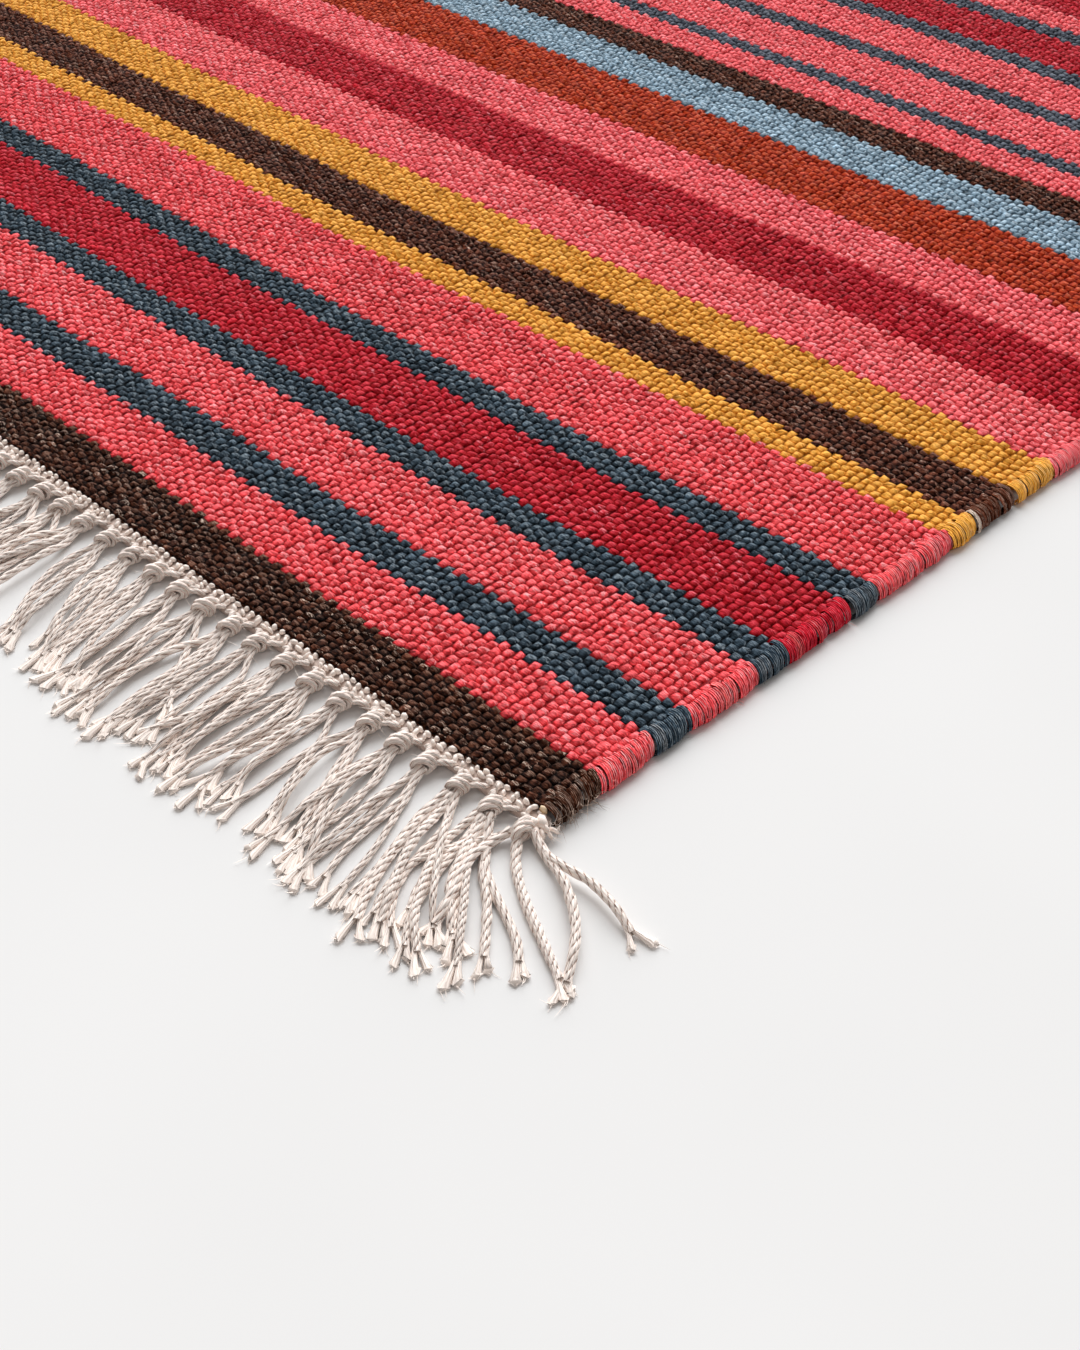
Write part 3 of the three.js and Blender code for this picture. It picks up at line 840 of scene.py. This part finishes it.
def tufts(label, end, start, along, chance, rng):
    """Each cord ends in its two plies, which part and flare into brushes."""
    start, along, chance = (np.repeat(rows, 2, axis=0) for rows in (start, along, chance))
    count = len(start)
    rings = len(BRUSH_SHARES)
    around = len(SIX_ANGLES)
    side = np.tile([-1.0, 1.0], count // 2)
    part = side * np.radians(rng.uniform(*BRUSH_PART, count))
    course = np.arctan2(along[:, 1], along[:, 0]) + part
    bend = side * np.radians(rng.uniform(*BRUSH_BEND, count))
    length = TUFT_LENGTH * rng.uniform(*BRUSH_LENGTHS, count)
    offset = columns(-np.sin(course), np.cos(course), 0.0) * side[:, None] * 0.5
    place = start + offset - BRUSH_OVERLAP * along
    place[:, 2] = np.maximum(start[:, 2], 0.95)
    angle = course[:, None] + bend[:, None] * BRUSH_SHARES
    step = np.diff(BRUSH_SHARES, prepend=0) * length[:, None]
    path = columns(np.cos(angle) * step, np.sin(angle) * step, 0.0)
    centre = place[:, None, :] + np.cumsum(path, axis=1)
    centre[..., 2] = place[:, 2:] * (1 - BRUSH_SHARES) + 0.5 * BRUSH_SHARES
    along, across, up = path_axes(centre)
    swell = BRUSH_SIZES * rng.uniform(0.8, 1.2, (count, 1))
    points = tubes(centre, across, up, SIX_ANGLES, swell[..., None], BRUSH_SQUASH)
    ragged = rng.uniform(*BRUSH_ENDS, (count, around)) - BRUSH_ROUNDING * np.cos(SIX_ANGLES) ** 2
    ragged[:, -1] = ragged[:, 0]
    tip, tip_along = centre[:, -1], along[:, -1]
    points[:, -1] += ragged[..., None] * tip_along[:, None, :]
    points[..., 2] = np.maximum(points[..., 2], 0.04)
    rim = points[:, -1].reshape(-1, 3)
    body = points.reshape(-1, 3)
    last = len(body) + np.arange(len(rim)).reshape(count, around)
    middle = len(body) + len(rim) + np.arange(count)[:, None]
    faces = [tube_faces(count, rings, around),
             columns(last[:, :-1], last[:, 1:], middle).reshape(-1, 3)]
    # Painted light: a chance above 1 paints the brushes lighter than their cords
    chance = chance + 1
    run = (BRUSH_SHARES * length[:, None])[..., None]
    ply = columns(0.0, run, chance[:, None, None], SIX_TURNS).reshape(-1, 4)
    ends = columns(0.0, length, chance, 0.0)
    points = np.concatenate([body, rim, tip + 0.5 * tip_along])
    ply = np.concatenate([ply, np.repeat(ends, around, axis=0), ends])
    add_cotton(f"tufts_{label}", end, points, faces, ply)
    root = np.repeat(tip - 0.8 * tip_along, WISPS, axis=0)
    root += rng.uniform(-0.9, 0.9, root.shape) * MOSTLY_FLAT
    aim = np.repeat(tip_along, WISPS, axis=0) + rng.normal(0, 0.5, root.shape) * MOSTLY_FLAT
    reach = rng.uniform(1.0, 3.2, len(root))
    cotton_hairs(f"wisps_{label}", end, root, aim, reach, WISP_CHANCE, rng, WISP_THICK)


WRAP_SEGMENTS = 11
KNOT_WRAPS = [(-2.1, 2.0, 1.8), (-0.1, 2.5, 2.25), (1.9, 2.1, 1.85)]  # out, half sizes
KNOT_HEIGHT = 3.1
KNOT_THICK = 1.15
KNOT_ANGLES = np.radians(np.linspace(0, 360, 6)) - np.pi / 2
KNOT_RUN = 2.6  # cord for each radian round a knot
KNOT_TWIST = 30  # cord for each turn of its twist


def knots(label, end, rng):
    """An overhand knot for each bundle of warps: slanted wraps round a core."""
    places = knot_places(end)
    base = (-end_line(places) - KNOT_OUT)[:, None]
    leans = np.radians([lean_at(x, end) * 0.6 for x in places])[:, None]
    angle = np.linspace(0, 2 * np.pi, WRAP_SEGMENTS + 1) - np.pi / 2
    points, plies = [], []
    for shift, width, rise in KNOT_WRAPS:
        size = rng.uniform(0.92, 1.1, KNOTS)
        tilt = rng.uniform(0.9, 1.7, KNOTS)
        across = np.cos(angle) * (width * size)[:, None]
        lift = np.sin(angle) * (rise * size)[:, None]
        along = -(shift + rng.uniform(-0.3, 0.3, KNOTS))[:, None] + tilt[:, None] * np.cos(angle)
        lean = leans + rng.normal(0, 0.12, (KNOTS, 1))
        paths = []
        for aside, out, height in ((across, along, lift), (0, along.mean(1, keepdims=True), 0)):
            x = places[:, None] + aside * np.cos(lean) - out * np.sin(lean)
            y = base + aside * np.sin(lean) + out * np.cos(lean)
            paths.append(columns(x, y, KNOT_HEIGHT + height))
        centre, middle = paths
        forward = unit(np.gradient(centre, axis=1))
        forward[:, 0] = forward[:, -1] = unit(centre[:, 1] - centre[:, -2])
        sideways = unit(np.cross(forward, unit(centre - middle)))
        thick = KNOT_THICK * rng.uniform(0.9, 1.08, (KNOTS, 1, 1))
        rings = tubes(centre, sideways, np.cross(sideways, forward), KNOT_ANGLES, thick)
        rings[..., 2] = np.maximum(rings[..., 2], 0.03)
        run = (angle[:, None] + np.pi) * KNOT_RUN
        turn = SIX_TURNS - run / KNOT_TWIST
        plies.append(columns(turn, run, rng.uniform(0.2, 1, (KNOTS, 1, 1)), turn).reshape(-1, 4))
        points.append(rings.reshape(-1, 3))
    faces = tube_faces(KNOTS * len(KNOT_WRAPS), WRAP_SEGMENTS + 1, 6)
    add_cotton(f"knots_{label}", end, np.concatenate(points), [faces], np.concatenate(plies))


DOME_RINGS = [(1.0, -0.35), (0.78, 0.55)]  # size and height, in half sizes
# Ply turns for the points of a dome: at the rim they give the painted groove shade, higher up the
# cream
DOME_SHADE_TURNS = np.array([0.11] * 6 + [0.05] * 6 + [0.0])
DOME_POINTS = len(DOME_SHADE_TURNS)


def domes(centres, half, yaw, rng):
    """Small rounded bumps: six points at the rim, six higher and one on top."""
    turns = np.radians(np.arange(6) * 60)
    wide, long, tall = np.broadcast_to(half, centres.shape).T[..., None]
    c, s = np.cos(yaw)[:, None], np.sin(yaw)[:, None]
    rings = []
    for size, height in DOME_RINGS:
        x = wide * size * np.cos(turns)
        y = long * size * np.sin(turns)
        rings.append(columns(x * c - y * s, x * s + y * c, height * tall))
    rings.append(columns(0.0, 0.0, tall))
    points = np.concatenate(rings, axis=1) * rng.uniform(0.74, 1.22, (len(centres), 1, 3))
    points += centres[:, None, :]
    first = DOME_POINTS * np.arange(len(centres))[:, None]
    low = first + np.arange(6)
    after = first + (np.arange(6) + 1) % 6
    quads = columns(low, after, after + 6, low + 6).reshape(-1, 4)
    tris = columns(low + 6, after + 6, first + 12).reshape(-1, 3)
    return points.reshape(-1, 3), quads, tris


BRAID = [  # out from the cloth, height, half sizes and turn of the bumps of each row
    (0.7, 3.35, (1.5, 1.05, 0.9), -0.3),
    (2.4, 3.1, (1.95, 0.9, 0.9), -0.7),
    (4.1, 2.6, (1.85, 0.85, 0.85), 0.55),
]
BRAID_SHIFT = [(-0.75, 0.75), (-0.45, 0.45), (-0.35, 0.35)]
BRAID_TURN = 0.7
BRAID_INSET, BASE_INSET = 1.2, 3.0  # from the sides of the cloth
GATHERED = 0.42  # how far apart the warps are at a knot, as a share of their pitch
GATHER_START = (0.8, 4.1, 2.7)  # to one side, out from the cloth, and height
GATHER_END, GATHER_HEIGHT = 7.6, 3.1
GATHER_THICK = 1.05
HEADING_BASE = [(0.2, 0.05), (4.9, 0.05), (4.6, 1.9), (0.2, 2.7)]  # out from the cloth, and height


def heading(label, end, rng):
    """The braid along the end of the cloth, and the warps from it to the knots."""
    x = (np.arange(-1, RIBS + 1) + 0.5) * (2 * FIELD_HALF / RIBS) - FIELD_HALF
    x = np.clip(x, -HALF + BRAID_INSET, HALF - BRAID_INSET)
    y = -end_line(x)
    chance = rng.uniform(0.3, 1, len(x))
    points, faces, ply, count = [], [], [], 0
    for out, height, half, yaw in BRAID:
        centres = columns(x, y - out, height) + strewn(rng, BRAID_SHIFT, len(x))
        yaws = yaw + rng.uniform(-BRAID_TURN, BRAID_TURN, len(x))
        part, quads, tris = domes(centres, half, yaws, rng)
        points.append(part)
        faces += [quads + count, tris + count]
        turn = np.tile(DOME_SHADE_TURNS, len(x))
        ply.append(columns(turn, part[:, 0], np.repeat(chance, DOME_POINTS), turn))
        count += len(part)
    places = knot_places(end)
    target = places[np.abs(x[:, None] - places).argmin(axis=1)]
    goal = columns(target + (x - target) * GATHERED, -end_line(target) - GATHER_END, GATHER_HEIGHT)
    aside, out, height = GATHER_START
    start = columns(x + aside, y - out, height)
    share = np.linspace(0, 1, 3)[:, None]
    centre = start[:, None, :] * (1 - share) + goal[:, None, :] * share
    centre[:, 1, 2] += 0.35
    _, across, up = path_axes(centre)
    thick = GATHER_THICK * rng.uniform(0.85, 1.1, (len(x), 1, 1))
    points.append(tubes(centre, across, up, SIX_ANGLES, thick, 0.9).reshape(-1, 3))
    faces.append(tube_faces(len(x), 3, 6, count))
    turn = SIX_TURNS - share * 0.5
    ply.append(columns(turn, share * 4, chance[:, None, None], turn).reshape(-1, 4))
    count += len(points[-1])
    base, base_faces = heading_base()
    points.append(base)
    faces.append(base_faces + count)
    # Painted shade: the strip takes the painted groove shade, from the rim turn of a dome
    ply.append(np.tile([DOME_SHADE_TURNS[0], 0.0, 0.2, 0.0], (len(base), 1)))
    add_cotton(f"heading_{label}", end, np.concatenate(points), faces, np.concatenate(ply))


def heading_base():
    """A low closed strip under the braid, painted in the groove shade."""
    x = np.linspace(-HALF + BASE_INSET, HALF - BASE_INSET, 121)
    points = np.stack([columns(x, -end_line(x) - out, z) for out, z in HEADING_BASE], axis=1)
    index = np.arange(len(x) * 4).reshape(len(x), 4)
    faces = [grid_faces(index[:, [i, (i + 1) % 4]]) for i in range(4)]
    return points.reshape(-1, 3), np.concatenate([*faces, index[:1, ::-1], index[-1:]])


# Loose fibres, and the tuft at the near corner on the right

HAIR_ANGLES = np.radians([0, 120, 240, 360])
HAIR_SIZES = np.array([0.075, 0.07, 0.055, 0.008])[:, None]
HAIR_SHARES = np.linspace(0, 1, 4)[:, None]
HAIR_POINTS = len(HAIR_SHARES) * len(HAIR_ANGLES)
HAIR_BEND = 0.45
WOOL_HAIRS, CORNER_HAIRS, KNOT_HAIRS, TUFT_HAIRS = 420, 70, 300, 60
CORNER_PICKS = 14
WOOL_FUZZ = [(-75, 75), (-0.3, 1.6), (0.8, 4.4), (-0.3, 0.5)]  # turn, inward, up, aim
KNOT_FUZZ = [  # ranges of a root aside, out and up, two parts of its aim, length and chance
    (-4.2, 4.2), (-4.5, 6.0), (0.6, 4.4), (-3, 2), (-1.5, 1.5), (1.5, 4.5), (0, 1),
]


def hairs(name, roots, aims, lengths, material, traits, rng, thick=1.0):
    """Fine curved fibres from their roots."""
    bend = rng.normal(0, HAIR_BEND, roots.shape)
    reach = unit(aims)[:, None, :] * HAIR_SHARES + bend[:, None, :] * HAIR_SHARES ** 2
    centre = roots[:, None, :] + reach * lengths[:, None, None]
    centre[..., 2] = np.maximum(centre[..., 2], 0.12)
    _, across, up = path_axes(centre)
    rings = tubes(centre, across, up, HAIR_ANGLES, HAIR_SIZES * thick)
    values = {label: np.repeat(value, HAIR_POINTS, axis=0) for label, value in traits.items()}
    add_mesh(name, rings.reshape(-1, 3), [tube_faces(len(roots), 4, 4)], material, values)


def cotton_hairs(name, end, roots, aims, lengths, chance, rng, thick=1.0):
    traits = {"ply": columns(0.0, lengths, chance, 0.0)}
    hairs(name, turned(roots, end), turned(aims, end), lengths, COTTON, traits, rng, thick)


def wool_hairs(rng):
    """Fibres off the selvedges, more of them at the near corner on the right."""
    count = WOOL_HAIRS + CORNER_HAIRS
    pick = rng.integers(0, PICKS, WOOL_HAIRS)
    pick = np.append(pick, rng.integers(0, CORNER_PICKS, CORNER_HAIRS))
    side = np.append(rng.choice([-1.0, 1.0], WOOL_HAIRS), np.ones(CORNER_HAIRS))
    turn, inward, height, up = strewn(rng, WOOL_FUZZ, count).T
    turn = np.radians(turn)
    x = side * (HALF - inward)
    y = pick_line(x, pick.astype(float)) - WRAP_SLANT * firmness(pick)
    roots = columns(x, y, height)
    aims = columns(side * np.cos(turn), np.sin(turn), up)
    lengths = np.append(rng.uniform(1.0, 3.0, WOOL_HAIRS), rng.uniform(1.5, 4.6, CORNER_HAIRS))
    dyes = DYE_COLOURS[PICK_DYES[pick]] * 0.6 + linear(PALE) * rng.uniform(0.1, 0.6, (count, 1))
    traits = {"dye": rgba(dyes, 0.0), "grain": np.zeros((count, 4))}
    hairs("hairs_wool", roots, aims, lengths, WOOL, traits, rng)


def knot_hairs(label, end, rng):
    """Fibres off the knots and the heading."""
    places = knot_places(end)[rng.integers(0, KNOTS, KNOT_HAIRS)]
    aside, out, height, down, up, lengths, chance = strewn(rng, KNOT_FUZZ, KNOT_HAIRS).T
    roots = columns(places + aside, -end_line(places) - KNOT_OUT - out, height)
    aims = columns(aside, down, up)
    cotton_hairs(f"hairs_{label}", end, roots, aims, lengths, chance, rng)


CORNER_TUFT = [  # from the corner of the cloth, X and Y, then height, half sizes and turn
    ((-3.6, -1.8, 3.5), (2.6, 1.6, 1.8), -0.5),
    ((-1.4, -2.6, 2.9), (2.8, 1.2, 1.5), -0.3),
    ((-1.0, -4.4, 2.4), (2.7, 1.1, 1.3), -0.75),
    ((-2.8, -5.6, 2.6), (2.4, 1.3, 1.5), -1.2),
    ((-5.0, -3.8, 3.2), (2.2, 1.5, 1.7), 0.4),
    ((0.8, -1.2, 2.6), (1.9, 0.7, 0.8), 0.1),
    ((1.0, -3.2, 2.2), (1.9, 0.65, 0.7), -0.4),
]
TUFT_ROOTS = [(-3, 1.2), (-5.5, 1.5), (1.0, 3.4)]  # ranges from the corner along X, Y and Z
TUFT_AIMS = [(0.3, 1), (-0.8, 0.5), (-0.4, 0.5)]
BEAD = ((-6.2, 1.4, 4.3), (1.9, 1.2, 1.2), -0.25)  # as in the tuft


def corner_bead(rng):
    """One bump of undyed weft at the corner."""
    place, half, yaw = BEAD
    points, quads, tris = domes((CORNER + place)[None, :], half, np.array([yaw]), rng)
    # The bead is painted darker towards its rim, as painted shade, with a faint painted highlight
    rim = np.repeat([1.0, 0.6, 0.0], [6, 6, 1])
    traits = {"dye": rgba(np.tile(linear(TAN), (DOME_POINTS, 1)), 0.1),
              "grain": columns(rim, rim, 0.0, 0.0)}
    add_mesh("corner_bead", points, [quads, tris], WOOL, traits)


def corner_tuft(rng):
    """The short ends of the last warps, frayed at the corner, with loose fibres."""
    places, halves, yaws = (np.array(rows) for rows in zip(*CORNER_TUFT))
    points, quads, tris = domes(CORNER + places, halves, yaws, rng)
    turn = np.tile(DOME_SHADE_TURNS, len(CORNER_TUFT))
    ply = columns(turn, points[:, 0] * 2, 0.8, turn)
    add_cotton("corner_tuft", ENDS["near"], points, [quads, tris], ply)
    roots = CORNER + strewn(rng, TUFT_ROOTS, TUFT_HAIRS)
    aims = strewn(rng, TUFT_AIMS, TUFT_HAIRS)
    lengths = rng.uniform(1.5, 4.5, TUFT_HAIRS)
    chance = rng.uniform(0, 1, TUFT_HAIRS)
    cotton_hairs("corner_hairs", ENDS["near"], roots, aims, lengths, chance, rng)


# The camera, light and floor

CAMERA_PLACE = (0.690, -1.04464, 0.4046)
CAMERA_TURN = Euler((math.radians(50.147), 0, math.radians(45.158)))
CAMERA_LENS = 53.32  # on a sensor 36 mm wide


def add_camera():
    data = bpy.data.cameras.new("camera")
    data.lens = CAMERA_LENS
    data.clip_start = 0.01
    camera = add_object("camera", data)
    camera.matrix_world = Matrix.LocRotScale(CAMERA_PLACE, CAMERA_TURN, None)
    bpy.context.scene.camera = camera


SUN_FROM = (-0.60, 0.75, 0.63)
SUN_SPREAD = math.radians(60)
SUN_STRENGTH = 4.21
SUN_COLOUR = (0.981, 0.993, 1.0)
SKY = (1.0, 0.945, 0.91, 1)
SKY_STRENGTH = 0.336
FLOOR_HALF = 30.0
FLOOR_DROP = 0.0002


def add_surroundings():
    """A soft window high on one side, an even pale room and a pale floor."""
    scene = bpy.context.scene
    scene.view_settings.view_transform = "Standard"
    world = bpy.data.worlds.new("soft_light")
    scene.world = world
    world.use_nodes = True
    sky = world.node_tree.nodes["Background"]
    sky.inputs["Color"].default_value = SKY
    sky.inputs["Strength"].default_value = SKY_STRENGTH
    data = bpy.data.lights.new("window", "SUN")
    data.energy = SUN_STRENGTH
    data.color = SUN_COLOUR
    data.angle = SUN_SPREAD
    lamp = add_object("window", data)
    lamp.rotation_mode = "QUATERNION"
    lamp.rotation_quaternion = Vector(SUN_FROM).to_track_quat("Z", "Y")
    corners = [(-1, -1), (1, -1), (1, 1), (-1, 1)]
    points = [(x * FLOOR_HALF, y * FLOOR_HALF, -FLOOR_DROP) for x, y in corners]
    floor = bpy.data.meshes.new("floor")
    floor.from_pydata(points, [], [(0, 1, 2, 3)])
    floor.materials.append(floor_material())
    plane = add_object("floor", floor)


add_camera()
add_surroundings()
bands = weave()
cloth = core()
edges = [selvedge(side, name, np.random.default_rng(21 + side))
         for side, name in ((-1, "selvedge_left"), (1, "selvedge_right"))]
for label, end in ENDS.items():
    rng = np.random.default_rng(end["seed"])
    heading(label, end, rng)
    knots(label, end, rng)
    cords(label, end, label == "near", rng)
    knot_hairs(label, end, rng)
corner_tuft(np.random.default_rng(5))
corner_bead(np.random.default_rng(6))
wool_hairs(np.random.default_rng(8))
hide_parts("woven_field")
for label in ENDS:
    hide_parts(f"fringe_{label}")
